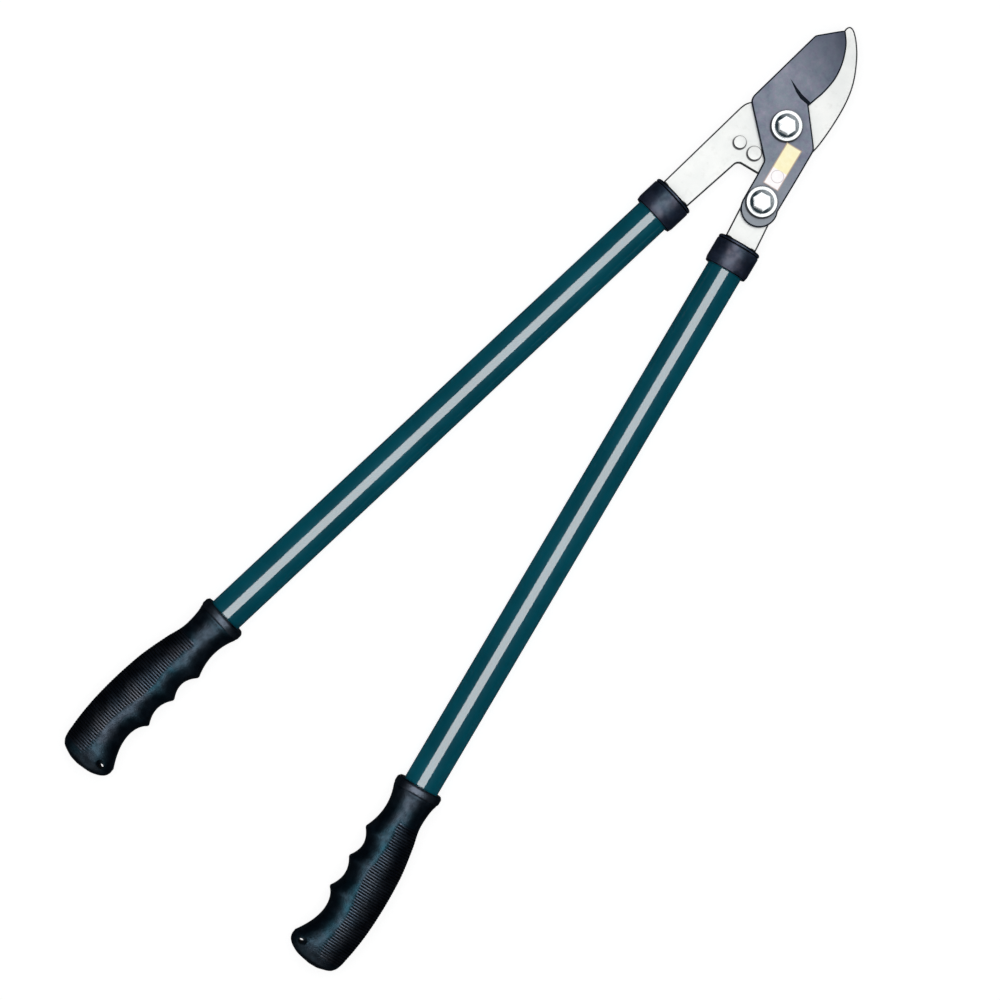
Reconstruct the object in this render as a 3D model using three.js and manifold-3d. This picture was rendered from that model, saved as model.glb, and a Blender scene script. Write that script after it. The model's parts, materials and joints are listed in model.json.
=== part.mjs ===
// Compound-action bypass loppers, closed and lying flat on the floor.
// Millimetres, +Z up. The working frame has the main pivot at its origin, the jaws toward +Y and the
// handles toward -Y; the finished group is shifted so that the origin is the middle of its footprint.
import * as THREE from 'three';
import { mergeVertices } from 'three/addons/utils/BufferGeometryUtils.js';
import Module from 'manifold-3d';

const wasm = await Module();
wasm.setup();

// ---------------------------------------------------------------- driving dimensions
const GAP = 0.3;                 // running clearance between neighbouring pieces
const AXIS_Z = 16.2;             // height of the two handle axes over the floor
const PLATE = 5;                 // thickness of the hook plate and of the lever plate
const BLADE = 4;                 // thickness of the cutting blade
const PLATE_Z = AXIS_Z - PLATE / 2;
const BLADE_Z = PLATE_Z + PLATE + GAP;
const LABEL_Z = BLADE_Z + BLADE + 0.1;
const HEAD_Z = BLADE_Z + BLADE + 0.4;

const LINK = [18.7, -49.9];      // second bolt, seen from the main pivot
const RATIO = 1.25;              // lever turn for one turn of the blade, both about their own bolts
const BLADE_OPEN = 38;           // degrees the blade opens
const FINGER_MIDDLE = 15;        // degrees of opening at which the lever's finger points at the pivot
const FINGER_R = 4;              // half width of the lever's finger

const SHANK_R = 4;               // M8 bolts
const HOLE_R = SHANK_R + GAP;
const HEAD_R = 10.5;
const HEAD_HEIGHT = 4;
const HEAD_CHAMFER = 0.7;
const SOCKET_R = 6.4;            // corner radius of the hexagon recess in the bolt heads
const SOCKET_MOUTH_R = 8;
const SOCKET_DEPTH = 2.6;
const WASHER_R = 9;
const WASHER = 1.5;
const NUT_FLATS = 13;
const NUT_HEX = 5.6;
const NUT_COLLAR_R = 5.9;
const NUT_COLLAR = 2.2;
const RING_R = 5.2;

const CLOSED_STOP = [-5.5, -27.1];
const OPEN_STOP = [-17.6, -27.4];
const STOP_HEIGHT = 3.2;

const HANDLE_ANGLE = 8.2;        // degrees between each handle and the middle line
const HANDLE_START = { left: [-29.7, -81.6], right: [25.1, -80.1] };
const TANG_HALF = 11.5;          // half width of a tang outside its ferrule
const TONGUE_HALF = 7.5;         // half width of its tongue inside the tube
const TONGUE_LENGTH = 58;
const FERRULE_R = 15.6;
const FERRULE_LENGTH = 20.4;
const FERRULE_WALL = 2.5;
const TUBE_R = 12.5;
const TUBE_WALL = 1.5;
const INSERT_LENGTH = 62;
const GRIP_START = { left: 411, right: 420 };  // from the ferrule's front face to the grip's collar
const TUBE_IN_GRIP = 112;
const GRIP_BORE_R = TUBE_R + 0.2;
const HANG_HOLE = { s: 128.6, t: 16.9, r: 3.2 };

const LABEL = { width: 11.8, length: 31.3, thick: 0.2, centre: [14.8, -22.9], turn: 7.5 };

// ---------------------------------------------------------------- colours
const STEEL = { color: 0xc9cbcc, roughness: 0.3, metalness: 0.9 };
const COATED = { color: 0x6c6a7a, roughness: 0.5, metalness: 0.5 };
const BOLT_STEEL = { color: 0xdadcde, roughness: 0.22, metalness: 1 };
const BLACK_PLASTIC = { color: 0x121418, roughness: 0.5, metalness: 0 };
const GREY_NYLON = { color: 0x8a8f94, roughness: 0.6, metalness: 0 };
const TEAL_PAINT = { color: 0x003c46, roughness: 0.18, metalness: 0.1 };
const RUBBER = { color: 0x0c0e10, roughness: 0.7, metalness: 0 };
const WHITE_NYLON = { color: 0xe4e6e2, roughness: 0.55, metalness: 0 };
const GOLD_FOIL = { color: 0xe9dfae, roughness: 0.4, metalness: 0.1 };

// ---------------------------------------------------------------- helpers
const radians = THREE.MathUtils.degToRad;
const polar = (r, degrees, [x, y] = [0, 0]) => [
  x + r * Math.cos(radians(degrees)),
  y + r * Math.sin(radians(degrees)),
];

function arc(centre, r, from, to, steps) {
  return Array.from({ length: steps + 1 }, (_, i) => polar(r, from + ((to - from) * i) / steps, centre));
}

// A smooth curve through the given points.
function spline(points, steps) {
  const curve = new THREE.SplineCurve(points.map(([x, y]) => new THREE.Vector2(x, y)));
  return curve.getPoints(steps).map((p) => [p.x, p.y]);
}

// Replaces every point that has a third number by an arc of that radius, tangent to both sides.
function fillet(points) {
  return points.flatMap((point, i) => {
    const [x, y, r] = point;
    if (!r) return [[x, y]];
    const corner = new THREE.Vector2(x, y);
    const toward = (p) => new THREE.Vector2(p[0], p[1]).sub(corner).normalize();
    const a = toward(points.at(i - 1));
    const b = toward(points[(i + 1) % points.length]);
    const half = Math.acos(THREE.MathUtils.clamp(a.dot(b), -1, 1)) / 2;
    const centre = a.clone().add(b).setLength(r / Math.sin(half)).add(corner);
    const start = a.setLength(r / Math.tan(half)).add(corner).sub(centre);
    const end = b.setLength(r / Math.tan(half)).add(corner).sub(centre);
    const sweep = Math.atan2(start.cross(end), start.dot(end));
    const steps = Math.max(2, Math.ceil(Math.abs(sweep) / radians(12)));
    return Array.from({ length: steps + 1 }, (_, k) => {
      const p = start.clone().rotateAround(new THREE.Vector2(), (sweep * k) / steps).add(centre);
      return [p.x, p.y];
    });
  });
}

function shapeOf(points) {
  return new THREE.Shape(points.map(([x, y]) => new THREE.Vector2(x, y)));
}

// A flat slab with the given outline and round holes [x, y, r].
function slab(outline, z, thick, holes = []) {
  const shape = shapeOf(outline);
  shape.holes = holes.map(([x, y, r]) => shapeOf(arc([x, y], r, 0, 350, 35)));
  return new THREE.ExtrudeGeometry(shape, { depth: thick, bevelEnabled: false }).translate(0, 0, z);
}

// A turned piece standing on +Z from a closed profile of [radius, height] points.
function turned(profile, segments = 40) {
  const points = [...profile, profile[0]].map(([r, h]) => new THREE.Vector2(r, h));
  return new THREE.LatheGeometry(points, segments).rotateX(Math.PI / 2);
}

// A skin over rings of equally many points, closed by a flat cap at both ends.
function loft(rings) {
  const count = rings[0].length;
  const position = rings.flat(2);
  const index = [];
  for (let i = 0; i + 1 < rings.length; i++) {
    for (let j = 0; j < count; j++) {
      const [a, b] = [i * count + j, i * count + ((j + 1) % count)];
      index.push(a, b, b + count, a, b + count, a + count);
    }
  }
  const last = (rings.length - 1) * count;
  for (let j = 1; j + 1 < count; j++) {
    index.push(0, j + 1, j, last, last + j, last + j + 1);
  }
  const geometry = new THREE.BufferGeometry();
  geometry.setAttribute('position', new THREE.Float32BufferAttribute(position, 3));
  geometry.setIndex(index);
  return geometry;
}

function volumeOf(geometry) {
  const [a, b, c] = [new THREE.Vector3(), new THREE.Vector3(), new THREE.Vector3()];
  const { position } = geometry.attributes;
  let volume = 0;
  for (let i = 0; i < geometry.index.count; i += 3) {
    [a, b, c].forEach((v, k) => v.fromBufferAttribute(position, geometry.index.getX(i + k)));
    volume += a.dot(b.cross(c)) / 6;
  }
  return volume;
}

// The geometry as one welded skin whose triangles face outward.
function welded(geometry) {
  geometry.deleteAttribute('normal');
  geometry.deleteAttribute('uv');
  const skin = mergeVertices(geometry, 1e-4);
  if (volumeOf(skin) < 0) {
    const order = skin.index.array;
    for (let i = 0; i < order.length; i += 3) [order[i], order[i + 1]] = [order[i + 1], order[i]];
  }
  return skin;
}

function solid(geometry) {
  const skin = welded(geometry);
  const mesh = new wasm.Mesh({
    numProp: 3,
    vertProperties: new Float32Array(skin.attributes.position.array),
    triVerts: new Uint32Array(skin.index.array),
  });
  return new wasm.Manifold(mesh);
}

function skinOf(manifold) {
  const mesh = manifold.getMesh();
  const geometry = new THREE.BufferGeometry();
  geometry.setAttribute('position', new THREE.Float32BufferAttribute(mesh.vertProperties, 3));
  geometry.setIndex(new THREE.Uint32BufferAttribute(mesh.triVerts, 1));
  return geometry;
}

const cut = (body, ...tools) => skinOf(tools.reduce((rest, tool) => rest.subtract(solid(tool)), solid(body)));
const join = (...bodies) => skinOf(bodies.map(solid).reduce((all, body) => all.add(body)));

const loppers = new THREE.Group();
loppers.name = 'bypass_loppers';

function add(name, geometry, look, place = (mesh) => mesh) {
  const skin = welded(geometry);
  skin.computeVertexNormals();
  const mesh = new THREE.Mesh(skin, new THREE.MeshStandardMaterial(look));
  mesh.name = name;
  loppers.add(place(mesh));
}

// ---------------------------------------------------------------- handle frames
// s runs from the ferrule's front face down the handle, t from its axis toward the other handle.
function handlePoint(side, s, t) {
  const sign = side === 'left' ? 1 : -1;
  const [x, y] = HANDLE_START[side];
  const [sin, cos] = [Math.sin(radians(HANDLE_ANGLE)), Math.cos(radians(HANDLE_ANGLE))];
  return [x + sign * (t * cos - s * sin), y - s * cos - t * sin];
}

// Places a piece that was drawn with its handle axis on Y (head end up) and its inner side on +X.
function onHandle(side) {
  return (mesh) => {
    const sign = side === 'left' ? 1 : -1;
    mesh.geometry.rotateZ(sign * -radians(HANDLE_ANGLE));
    mesh.geometry.translate(...HANDLE_START[side], AXIS_Z);
    return mesh;
  };
}

// The end of a plate that runs down its handle: outer shoulder, tongue in the tube, inner shoulder.
function tang(side) {
  const shoulder = -GAP;
  return [
    [shoulder, TANG_HALF],
    [shoulder, TONGUE_HALF],
    [TONGUE_LENGTH, TONGUE_HALF],
    [TONGUE_LENGTH, -TONGUE_HALF],
    [shoulder, -TONGUE_HALF],
    [shoulder, -TANG_HALF],
  ].map(([s, t]) => handlePoint(side, s, t));
}

// ---------------------------------------------------------------- lever plate
const linkAngle = THREE.MathUtils.radToDeg(Math.atan2(LINK[1], LINK[0]));
const fingerLength = Math.hypot(...LINK) / (1 + RATIO);
const fingerAngle = linkAngle + 180 - RATIO * FINGER_MIDDLE;

// The finger is a bar with a round end; more than its own half width gives it running clearance.
function finger(r) {
  const tip = polar(fingerLength, fingerAngle, LINK);
  return [
    ...arc(tip, r, fingerAngle - 90, fingerAngle + 90, 12),
    polar(r, fingerAngle + 90, LINK),
    polar(r, fingerAngle - 90, LINK),
  ];
}

const HUB_R = 11.2;
const leverTang = tang('right');
const leverBody = slab(
  [...leverTang, ...arc(LINK, HUB_R, HANDLE_ANGLE, 180 + HANDLE_ANGLE, 18)],
  PLATE_Z,
  PLATE,
);
const leverPlate = cut(
  join(leverBody, slab(finger(FINGER_R), PLATE_Z, PLATE)),
  slab(arc(LINK, HOLE_R, 0, 350, 35), PLATE_Z - 1, PLATE + 2),
);
add('lever_plate', leverPlate, STEEL);

// ---------------------------------------------------------------- hook plate
const hookBack = spline(
  [[-9.9, 76.4], [-9.1, 78.3], [-7.4, 79.2], [-5.3, 78.8], [-2.6, 77.2], [1.5, 73.7], [6.7, 68],
    [11.2, 61.6], [15.8, 53.9], [19.4, 45.5], [22, 35.8], [23.6, 26], [24.7, 15], [25.2, 4.5],
    [24.8, -2.4]],
  42,
);
const hookShoulder = spline(
  [[-32, -9], [-30.9, -4.9], [-28.5, -1.2], [-24.8, 2.2], [-19.5, 5.4], [-14.5, 9]],
  14,
);
const hookBelly = spline(
  [[-9.3, 14], [-3.6, 20.5], [-0.6, 28], [1, 36], [1.2, 44], [0, 52], [-3, 60], [-7, 68], [-9.8, 74]],
  28,
);
const LUG_R = 36.5;
const [tangInner, ...tangRest] = tang('left');
const hookOutline = fillet([
  ...hookBack,
  [25.6, -12],
  [26.3, -21.5, 1.5],
  ...arc([0, 0], LUG_R, -46.5, -84, 12),
  [-10.6, -38.3, 4],
  tangInner,
  ...tangRest,
  ...hookShoulder,
  ...hookBelly,
]);

// The notch is what the lever's finger sweeps, seen from the hook plate, as the blade opens.
function fingerSweep() {
  const steps = 16;
  return Array.from({ length: steps + 1 }, (_, i) => {
    const blade = -1 + ((BLADE_OPEN + 2) * i) / steps;
    const tool = slab(finger(FINGER_R + GAP), PLATE_Z - 1, PLATE + 2);
    tool.translate(-LINK[0], -LINK[1], 0).rotateZ(radians(RATIO * blade)).translate(...LINK, 0);
    return tool.rotateZ(radians(blade));
  });
}

const hookSlab = slab(hookOutline, PLATE_Z, PLATE, [
  [0, 0, HOLE_R],
  [...CLOSED_STOP, 2.5 + GAP],
  [...OPEN_STOP, 2.2 + GAP],
]);
add('hook_plate', cut(hookSlab, ...fingerSweep()), STEEL);

// ---------------------------------------------------------------- cutting blade
const HEEL = [3.05, 19.9];
const TIP = [-9.2, 74.9];
const cuttingEdge = spline(
  [HEEL, [4.4, 27], [5.5, 33.1], [6, 42.6], [5.1, 49.7], [3.3, 56.2], [0.3, 62.9], [-3.3, 68.8], TIP],
  32,
);
const bladeOutline = fillet([
  ...cuttingEdge,
  [-22.9, 59.4, 4],
  [-30.4, -0.6, 7],
  [2.7, -27.2, 4],
  [4.9, -38, 30],
  [7.7, -56.4],
  ...arc([20.2, -54.2], 12.6, 194, 390, 22),
  [27.8, -23.3, 30],
  [24.9, -3.5],
  [24.2, -1.2],
  [21.1, 2.5, 5],
]);

// The grind: nothing is taken off along a line near the spine, all but the edge's own thickness at
// the cutting edge, and the wall at the heel leans back.
function grindTool() {
  const edgeLeft = 0.5;
  const start = new THREE.Vector2(-17.6, 26.3);
  const end = new THREE.Vector2(-14.5, 74.9);
  const top = BLADE_Z + BLADE;
  const stations = 10;
  return loft(Array.from({ length: stations + 1 }, (_, i) => {
    const u = i / stations;
    const zero = start.clone().lerp(end, u);
    const [ex, ey] = cuttingEdge[Math.round(u * (cuttingEdge.length - 1))];
    const edge = new THREE.Vector2(ex, ey);
    if (i === 0) edge.set(HEEL[0], HEEL[1] + 3);
    const out = edge.clone().lerp(zero, -0.25);
    const drop = (BLADE - edgeLeft) * 1.25;
    return [
      [zero.x, zero.y, top],
      [out.x, out.y, top - drop],
      [out.x, out.y - (i === 0 ? 4.5 : 0), top + 0.5],
      [zero.x, zero.y, top + 0.5],
    ];
  }));
}
const bladeSlab = slab(bladeOutline, BLADE_Z, BLADE, [[0, 0, HOLE_R], [...LINK, HOLE_R]]);
add('cutting_blade', cut(bladeSlab, grindTool()), COATED);

const labelSheet = new THREE.BoxGeometry(LABEL.width, LABEL.length, LABEL.thick)
  .rotateZ(radians(LABEL.turn))
  .translate(...LABEL.centre, LABEL_Z + LABEL.thick / 2);
add('blade_label', labelSheet, GOLD_FOIL);

// ---------------------------------------------------------------- bolts, washers and lock nuts
const NUT_TOP = PLATE_Z - GAP - WASHER - GAP;
const NUT_BOTTOM = NUT_TOP - NUT_HEX - NUT_COLLAR;
const SHANK_END = NUT_BOTTOM - 1.2;

function hexagon(r) {
  return arc([0, 0], r, 0, 300, 5);
}

function bolt() {
  const top = HEAD_Z + HEAD_HEIGHT;
  const floor = top - SOCKET_DEPTH;
  const body = turned([
    [0, SHANK_END], [SHANK_R - 0.8, SHANK_END], [SHANK_R, SHANK_END + 0.8], [SHANK_R, HEAD_Z],
    [HEAD_R, HEAD_Z], [HEAD_R, top - HEAD_CHAMFER], [HEAD_R - HEAD_CHAMFER, top], [0, top],
  ], 48);
  const mouth = turned([
    [0, floor + 0.6], [SOCKET_R - 0.4, floor + 0.6], [SOCKET_MOUTH_R, top], [SOCKET_MOUTH_R, top + 1],
    [0, top + 1],
  ], 48);
  return cut(body, slab(hexagon(SOCKET_R), floor, SOCKET_DEPTH + 1), mouth);
}

function washer() {
  const bottom = PLATE_Z - GAP - WASHER;
  return turned([
    [HOLE_R, bottom], [WASHER_R, bottom], [WASHER_R, bottom + WASHER], [HOLE_R, bottom + WASHER],
  ]);
}

function lockNut() {
  const hex = slab(hexagon(NUT_FLATS / Math.sqrt(3)), NUT_TOP - NUT_HEX, NUT_HEX);
  const collar = turned([
    [0, NUT_BOTTOM], [NUT_COLLAR_R - 0.5, NUT_BOTTOM], [NUT_COLLAR_R, NUT_BOTTOM + 0.5],
    [NUT_COLLAR_R, NUT_TOP - 1], [0, NUT_TOP - 1],
  ]);
  const seat = turned([
    [0, NUT_BOTTOM - 1], [RING_R + 0.1, NUT_BOTTOM - 1], [RING_R + 0.1, NUT_BOTTOM + NUT_COLLAR],
    [HOLE_R, NUT_BOTTOM + NUT_COLLAR], [HOLE_R, NUT_TOP + 1], [0, NUT_TOP + 1],
  ]);
  return cut(join(hex, collar), seat);
}

function nylonRing() {
  const bottom = NUT_BOTTOM + 0.3;
  const top = NUT_BOTTOM + NUT_COLLAR - 0.1;
  return turned([[SHANK_R + 0.1, bottom], [RING_R, bottom], [RING_R, top], [SHANK_R + 0.1, top]]);
}

for (const [name, [x, y]] of [['pivot', [0, 0]], ['link', LINK]]) {
  add(`${name}_bolt`, bolt().translate(x, y, 0), BOLT_STEEL);
  add(`${name}_washer`, washer().translate(x, y, 0), BOLT_STEEL);
  add(`${name}_nut`, lockNut().translate(x, y, 0), BOLT_STEEL);
  add(`${name}_nut_ring`, nylonRing().translate(x, y, 0), WHITE_NYLON);
}

// ---------------------------------------------------------------- stop rivets
// Each stands up into the blade's own layer; its shank runs through the hook plate.
function stopRivet(headR, shankR) {
  const head = PLATE_Z + PLATE + 0.05;
  const tail = PLATE_Z - 0.05;
  return turned([
    [0, tail - 1.4], [shankR + 1, tail - 1.4], [shankR + 1.6, tail - 0.7], [shankR + 1.6, tail],
    [shankR, tail], [shankR, head], [headR, head], [headR, head + STOP_HEIGHT - 0.6],
    [headR - 0.6, head + STOP_HEIGHT], [0, head + STOP_HEIGHT],
  ], 36);
}
add('closed_stop_rivet', stopRivet(4.75, 2.5).translate(...CLOSED_STOP, 0), BOLT_STEEL);
add('open_stop_rivet', stopRivet(4.3, 2.2).translate(...OPEN_STOP, 0), BOLT_STEEL);

// ---------------------------------------------------------------- handles
// A turned piece laid along the handle: profile points are [radius, s].
function alongHandle(profile, segments) {
  return turned(profile.map(([r, s]) => [r, -s]), segments).rotateX(-Math.PI / 2);
}

// A slot for the tongue of a plate, from s = from to s = to.
function tongueSlot(from, to) {
  const half = [TONGUE_HALF + GAP, PLATE / 2 + GAP];
  return new THREE.BoxGeometry(2 * half[0], to - from, 2 * half[1]).translate(0, -(from + to) / 2, 0);
}

function ferrule() {
  const bore = TUBE_R + GAP;
  const shell = alongHandle([
    [0, 0], [FERRULE_R - 1.6, 0], [FERRULE_R - 0.5, 0.8], [FERRULE_R, 2.2], [FERRULE_R, FERRULE_LENGTH - 1.4],
    [FERRULE_R - 0.8, FERRULE_LENGTH], [bore, FERRULE_LENGTH], [bore, FERRULE_WALL], [0, FERRULE_WALL],
  ], 48);
  return cut(shell, tongueSlot(-1, FERRULE_WALL + 1));
}

function tangInsert() {
  const start = FERRULE_WALL + GAP;
  const r = TUBE_R - TUBE_WALL - GAP;
  const plug = alongHandle([
    [0, start], [r, start], [r, start + INSERT_LENGTH - 1], [r - 1, start + INSERT_LENGTH],
    [0, start + INSERT_LENGTH],
  ], 36);
  return cut(plug, tongueSlot(start - 1, start + INSERT_LENGTH + 1));
}

function tube(side) {
  const [start, end] = [FERRULE_WALL + GAP, GRIP_START[side] + TUBE_IN_GRIP];
  const inner = TUBE_R - TUBE_WALL;
  return alongHandle([[inner, start], [TUBE_R, start], [TUBE_R, end], [inner, end]], 48);
}

// ---------------------------------------------------------------- grips
// Distance of the grip's back from the axis, and half its depth, at distances s from the collar.
const GRIP_BACK = [[0, 15.6], [1.6, 16.6], [5, 16.6], [9, 15.2], [15, 14.2], [24, 13.9], [38, 16.6],
  [61, 19.8], [86, 20.3], [109, 18.8], [125, 16.2], [131, 14.8], [135, 12.8], [137.6, 9.6], [139.6, 3]];
const GRIP_DEPTH = [[0, 15.4], [1.6, 16.2], [5, 16.2], [9, 15.2], [15, 14.6], [24, 14.4], [45, 15.2],
  [100, 15.2], [119, 14.4], [127, 13], [133, 10.6], [137.6, 7.2], [139.6, 3.4]];
const GRIP_TAIL = [[125, 24.2], [129, 24.5], [132.4, 23], [135.6, 19], [138, 13.5], [139.6, 6]];
// Finger scoops: [start, height there, end, height there, height at the bottom, lean]; a lean under 1
// brings the bottom nearer to the start.
const SCOOPS = [
  [6, 17.4, 41.7, 18.7, 13.9, 1],
  [41.7, 18.7, 64, 18.4, 13.9, 1],
  [64, 18.4, 88.1, 19.5, 14.6, 1],
  [88.1, 19.5, 125, 24.2, 14.6, 0.8],
];

function along(table, s) {
  const i = Math.max(1, table.findIndex(([at]) => at >= s));
  const [[s0, v0], [s1, v1]] = [table[i - 1], table[i]];
  return v0 + ((v1 - v0) * (s - s0)) / (s1 - s0);
}

function fingerSide(s) {
  if (s < SCOOPS[0][0]) return along([[0, 15.8], [1.6, 17.2], [6, 17.4]], s);
  const scoop = SCOOPS.find(([, , end]) => s <= end);
  if (!scoop) return along(GRIP_TAIL, s);
  const [start, h0, end, h1, bottom, lean] = scoop;
  const u = ((s - start) / (end - start)) ** lean;
  return h0 + (h1 - h0) * u - ((h0 + h1) / 2 - bottom) * 4 * u * (1 - u);
}

function grip(side) {
  const sign = side === 'left' ? 1 : -1;
  const count = 30;
  const scoopStations = SCOOPS.flatMap(([start, , end]) =>
    [0, 0.15, 0.32, 0.5, 0.68, 0.85].map((u) => start + (end - start) * u));
  const stations = [0, 1.6, ...scoopStations, 125, 127, 129, 131, 133.4, 135.6, 137.6, 139, 139.6];
  const rings = stations.map((s) => {
    const [front, back, depth] = [fingerSide(s), along(GRIP_BACK, s), along(GRIP_DEPTH, s)];
    return Array.from({ length: count }, (_, i) => {
      const a = (2 * Math.PI * i) / count;
      const power = (v) => Math.sign(v) * Math.abs(v) ** 0.86;
      const t = (front - back) / 2 + ((front + back) / 2) * power(Math.cos(a));
      return [sign * t, -s, depth * power(Math.sin(a))];
    });
  });
  const bore = alongHandle([[0, -1], [GRIP_BORE_R, -1], [GRIP_BORE_R, TUBE_IN_GRIP + 0.5],
    [0, TUBE_IN_GRIP + 0.5]], 36);
  const hole = slab(arc([sign * HANG_HOLE.t, -HANG_HOLE.s], HANG_HOLE.r, 0, 345, 23), -20, 40);
  return cut(loft(rings), bore, hole).translate(0, -GRIP_START[side], 0);
}

for (const side of ['left', 'right']) {
  const place = onHandle(side);
  add(`${side}_ferrule`, ferrule(), BLACK_PLASTIC, place);
  add(`${side}_tang_insert`, tangInsert(), GREY_NYLON, place);
  add(`${side}_tube`, tube(side), TEAL_PAINT, place);
  add(`${side}_grip`, grip(side), RUBBER, place);
}

// ---------------------------------------------------------------- origin under the middle
const box = new THREE.Box3().setFromObject(loppers);
const middle = box.getCenter(new THREE.Vector3());
for (const mesh of loppers.children) mesh.geometry.translate(-middle.x, -middle.y, -box.min.z);

export default loppers;
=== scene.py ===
import json
import math

import bmesh
import bpy
import numpy as np
from mathutils import Matrix, Vector
from mathutils.geometry import delaunay_2d_cdt


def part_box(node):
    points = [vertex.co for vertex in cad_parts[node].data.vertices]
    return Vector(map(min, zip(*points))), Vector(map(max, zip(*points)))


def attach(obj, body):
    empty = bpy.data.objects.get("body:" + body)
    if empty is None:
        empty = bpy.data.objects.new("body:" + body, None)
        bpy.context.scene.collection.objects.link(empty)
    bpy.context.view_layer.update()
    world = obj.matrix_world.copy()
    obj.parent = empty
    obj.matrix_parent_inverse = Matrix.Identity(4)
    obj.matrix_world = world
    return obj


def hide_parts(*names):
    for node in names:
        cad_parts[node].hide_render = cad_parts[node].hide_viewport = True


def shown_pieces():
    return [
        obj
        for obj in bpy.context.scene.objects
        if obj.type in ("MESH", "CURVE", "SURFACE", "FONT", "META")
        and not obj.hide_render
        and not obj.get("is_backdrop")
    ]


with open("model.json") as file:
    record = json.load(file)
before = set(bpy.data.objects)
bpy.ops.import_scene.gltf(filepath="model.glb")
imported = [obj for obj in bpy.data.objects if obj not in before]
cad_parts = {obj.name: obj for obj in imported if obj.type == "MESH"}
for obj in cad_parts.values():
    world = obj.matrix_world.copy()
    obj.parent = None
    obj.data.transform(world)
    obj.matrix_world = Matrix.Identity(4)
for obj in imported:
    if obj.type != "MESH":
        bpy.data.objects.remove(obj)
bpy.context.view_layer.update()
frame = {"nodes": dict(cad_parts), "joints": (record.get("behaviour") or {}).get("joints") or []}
scene = bpy.context.scene

MM = 0.001
UP = Vector((0, 0, 1))
ALONG_X = Vector((1, 0, 0))
WELD, CAD_WELD = 1e-7, 2e-6  # metres; points nearer than this are one point, here and in a CAD node
FLAT_ENOUGH = math.radians(0.6)  # faces that meet at a smaller angle are one flat face
ON_AXIS = 1e-9
ARC_SHARE = 0.45  # the most of an edge that the arc at its end takes up
PIVOT = next(Vector(joint["pos_m"]) for joint in frame["joints"] if joint["name"] == "blade_hinge")


# ---- meshes
def added(name, data):
    """A new object in the scene."""
    made = bpy.data.objects.new(name, data)
    scene.collection.objects.link(made)
    return made


def make(node, vertices, faces, body, slot, materials, smooth_angle, tags=None):
    """A mesh piece that stands for a CAD node. Tags pick each face's material."""
    mesh = bpy.data.meshes.new(node + "_look")
    mesh.from_pydata([tuple(v) for v in vertices], [], faces)
    if tags is not None:
        mesh.polygons.foreach_set("material_index", [int(t) for t in tags])
    return dress(mesh, node, body, materials, smooth_angle)


def dress(mesh, node, body, materials, smooth_angle):
    """A piece from a mesh that stands for a CAD node and rides on a body."""
    outward(mesh)
    mesh.shade_smooth()
    mesh.set_sharp_from_angle(angle=math.radians(smooth_angle))
    piece = added(node + "_look", mesh)
    for material in materials:
        mesh.materials.append(material)
    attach(piece, body)
    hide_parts(node)
    return piece


def flat_faces_first(piece):
    """Lets the large flat faces set the shading at their rims."""
    piece.modifiers.new("flat faces", "WEIGHTED_NORMAL").keep_sharp = True
    return piece


def outward(mesh):
    """Welds the mesh and turns its faces outward."""
    bm = bmesh.new()
    bm.from_mesh(mesh)
    bmesh.ops.remove_doubles(bm, verts=bm.verts, dist=WELD)
    bmesh.ops.recalc_face_normals(bm, faces=bm.faces)
    bm.to_mesh(mesh)
    bm.free()


def eased(a, b, slope_a, slope_b, u):
    """A curve from a to b, leaving and arriving with the slopes, at share u of the way."""
    return (
        a * (1 + 2 * u) * (1 - u) ** 2 + b * u * u * (3 - 2 * u)
        + slope_a * u * (1 - u) ** 2 - slope_b * u * u * (1 - u)
    )


def points_of(node):
    """A CAD node's points, as rows of a numpy array."""
    return np.array([v.co for v in frame["nodes"][node].data.vertices], float)


def beveled(node, body, material, width, sharp=28, segments=3):
    """A CAD node's own shape with its flat faces made whole and its sharp edges rounded."""
    mesh = frame["nodes"][node].data.copy()
    mesh.materials.clear()
    bm = bmesh.new()
    bm.from_mesh(mesh)
    bmesh.ops.remove_doubles(bm, verts=bm.verts, dist=CAD_WELD)
    bmesh.ops.dissolve_limit(bm, angle_limit=FLAT_ENOUGH, verts=bm.verts, edges=bm.edges)
    edges = [e for e in bm.edges if e.is_manifold and e.calc_face_angle(0) > math.radians(sharp)]
    bmesh.ops.bevel(
        bm, geom=edges, offset=width, offset_type="OFFSET", segments=segments, profile=0.5,
        affect="EDGES", clamp_overlap=True,
    )
    bm.to_mesh(mesh)
    bm.free()
    return flat_faces_first(dress(mesh, node, body, [material], 40))


def revolve(profile, origin, axis, side, steps):
    """Vertices and faces of a closed profile of [distance from the axis, distance along it]."""
    up = axis.cross(side)
    vertices = []
    for k in range(steps):
        a = 2 * math.pi * k / steps
        out = side * math.cos(a) + up * math.sin(a)
        vertices += [origin + out * r + axis * s for r, s in profile]
    n = len(profile)
    faces = []
    for k in range(steps):
        k2 = (k + 1) % steps
        for i in range(n):
            j = (i + 1) % n
            if profile[i][0] < ON_AXIS and profile[j][0] < ON_AXIS:
                continue
            faces.append((k * n + i, k * n + j, k2 * n + j, k2 * n + i))
    return vertices, faces


def rounded(profile, radius, steps):
    """A closed profile with each corner turned into a small arc."""
    result = []
    n = len(profile)
    for i, (x, y) in enumerate(profile):
        p, a, b = Vector((x, y)), Vector(profile[i - 1]), Vector(profile[(i + 1) % n])
        if x < ON_AXIS:
            result.append((x, y))
            continue
        da, db = a - p, b - p
        cut = min(radius, da.length * ARC_SHARE, db.length * ARC_SHARE)
        start, end = p + da.normalized() * cut, p + db.normalized() * cut
        for k in range(steps + 1):
            t = k / steps
            q = start * (1 - t) ** 2 + p * 2 * t * (1 - t) + end * t * t
            result.append((q.x, q.y))
    return result


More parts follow.
